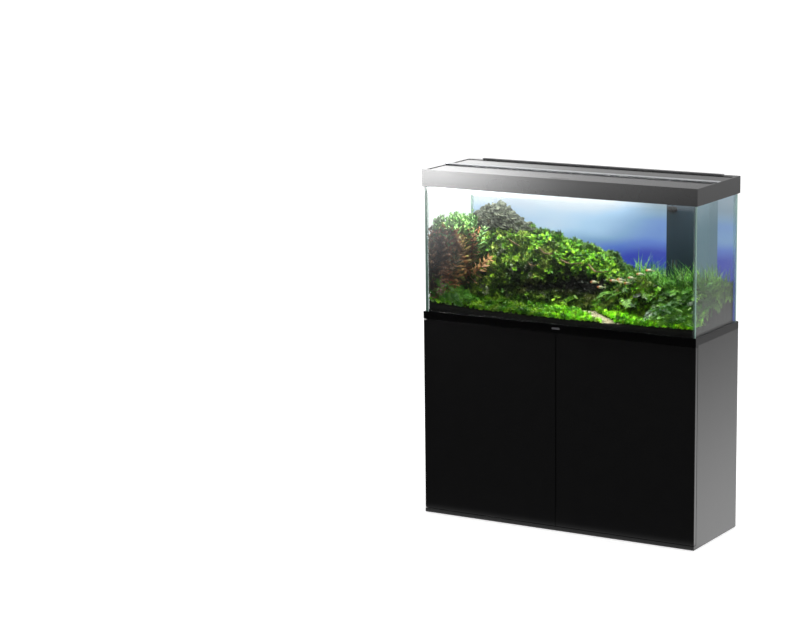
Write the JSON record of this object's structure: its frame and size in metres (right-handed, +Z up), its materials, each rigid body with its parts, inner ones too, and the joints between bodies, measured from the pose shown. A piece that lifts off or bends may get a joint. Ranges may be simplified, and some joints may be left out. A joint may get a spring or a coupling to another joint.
{
  "type": "aquarium on stand",
  "caption": "Planted glass aquarium with a black hood and lights on a two-door black cabinet, with a filter box, rock and plants inside.",
  "frame": {"origin": "on the floor, at the middle of the plan", "axes": "+Z up, +X to the right of a person who faces the doors, doors towards -Y"},
  "size_m": [1.212, 0.4, 1.427],
  "materials": {
    "laminate": "black silk-matt laminate with black edge bands",
    "back_board": "black foil-faced board",
    "door_laminate": "smooth black laminate with a soft sheen",
    "beech": "raw turned dowel",
    "steel": "nickel-plated, satin",
    "screw_steel": "zinc-plated",
    "black_plastic": "moulded, fine grain",
    "hood_plastic": "moulded, satin",
    "base_plastic": "smooth moulded",
    "white_plastic": "moulded",
    "soft_rubber": "soft, translucent grey",
    "black_rubber": "smooth silicone",
    "badge_metal": "brushed, plain",
    "glass": "clear float glass with green polished edges",
    "film": "printed blue gradient film",
    "gravel": "fine dark gravel",
    "rock": "jagged grey-green rock",
    "moss_plants": "living moss and small leaves",
    "stem_plants": "living red-brown and light green stems",
    "back_plants": "living background plants",
    "ferns": "living ferns and grass",
    "carpet": "living bright green carpet",
    "filter_plastic": "moulded, dark",
    "foam": "open-cell foam",
    "heater_glass": "tube with a heating coil",
    "crossbar_metal": "satin anodised",
    "light_profile": "anodised",
    "diffuser": "milky diffuser, emissive"
  },
  "bodies": {
    "cabinet_and_tank": {"side_panel_left": "laminate", "side_panel_right": "laminate", "bottom_plate": "laminate", "top_panel": "laminate", "centre_divider": "laminate", "back_panel_left": "back_board", "back_panel_right": "back_board", "shelf_left": "laminate", "shelf_right": "laminate", "shelf_pins": "steel", "cam_discs": "steel", "cam_bolts": "steel", "dowels": "beech", "glides": "black_plastic", "cable_grommets": "black_plastic", "hinge_arms_left": "steel", "hinge_arms_right": "steel", "hinge_screws": "screw_steel", "latch_housings": "black_plastic", "door_bumpers": "soft_rubber", "base_frame": "base_plastic", "badge": "badge_metal", "bottom_pane": "glass", "front_pane": "glass", "rear_pane": "glass", "end_panes": "glass", "silicone_seams": "black_rubber", "glass_braces": "glass", "background_film": "film", "gravel_bed": "gravel", "rock": "rock", "planted_hill": "moss_plants", "stem_plants": "stem_plants", "back_plants": "back_plants", "fern_bed": "ferns", "front_carpet": "carpet", "filter_body": "filter_plastic", "filter_cartridges": "foam", "filter_pump": "black_plastic", "heater": "heater_glass"},
    "door_left": {"door_left": "door_laminate", "hinge_cups_left": "steel", "hinge_pins_left": "screw_steel"},
    "door_right": {"door_right": "door_laminate", "hinge_cups_right": "steel", "hinge_pins_right": "screw_steel"},
    "latch_left": {"latch_plunger_left": "white_plastic"},
    "latch_right": {"latch_plunger_right": "white_plastic"},
    "nozzle": {"outlet_nozzle": "black_plastic"},
    "hood": {"hood_frame": "hood_plastic", "crossbar": "crossbar_metal", "rear_strip": "hood_plastic", "lid_hinge_pins": "steel", "light_profiles": "light_profile", "light_diffusers": "diffuser", "light_ends": "black_plastic", "cable_glands": "black_rubber"},
    "filter_lid": {"filter_lid": "filter_plastic"},
    "front_lid": {"front_lid": "hood_plastic"},
    "rear_lid": {"rear_lid": "hood_plastic"}
  },
  "joints": [
    {"name": "door_left_hinge", "type": "hinge", "parent": "cabinet_and_tank", "child": "door_left", "pos_m": [-0.5975, -0.19, 0.41525], "axis": [0, 0, -1], "range_deg": [0, 95]},
    {"name": "door_right_hinge", "type": "hinge", "parent": "cabinet_and_tank", "child": "door_right", "pos_m": [0.5975, -0.19, 0.41525], "axis": [0, 0, 1], "range_deg": [0, 95]},
    {"name": "latch_left_push", "type": "slide", "parent": "cabinet_and_tank", "child": "latch_left", "axis": [0, 1, 0], "range_m": [0, 0.003], "stiffness_N_per_m": 400, "springref_m": -0.004},
    {"name": "latch_right_push", "type": "slide", "parent": "cabinet_and_tank", "child": "latch_right", "axis": [0, 1, 0], "range_m": [0, 0.003], "stiffness_N_per_m": 400, "springref_m": -0.004},
    {"name": "nozzle_turn", "type": "hinge", "parent": "cabinet_and_tank", "child": "nozzle", "pos_m": [0.363, 0.1, 1.288], "axis": [0, -1, 0], "range_deg": [-90, 90]},
    {"name": "filter_lid_lift", "type": "slide", "parent": "cabinet_and_tank", "child": "filter_lid", "axis": [0, 0, 1], "range_m": [0, 0.025]},
    {"name": "hood_lift", "type": "slide", "parent": "cabinet_and_tank", "child": "hood", "axis": [0, 0, 1], "range_m": [0, 0.1]},
    {"name": "front_lid_hinge", "type": "hinge", "parent": "hood", "child": "front_lid", "pos_m": [0, -0.024, 1.417], "axis": [-1, 0, 0], "range_deg": [0, 95]},
    {"name": "rear_lid_hinge", "type": "hinge", "parent": "hood", "child": "rear_lid", "pos_m": [0, 0.024, 1.417], "axis": [1, 0, 0], "range_deg": [0, 80]}
  ]
}
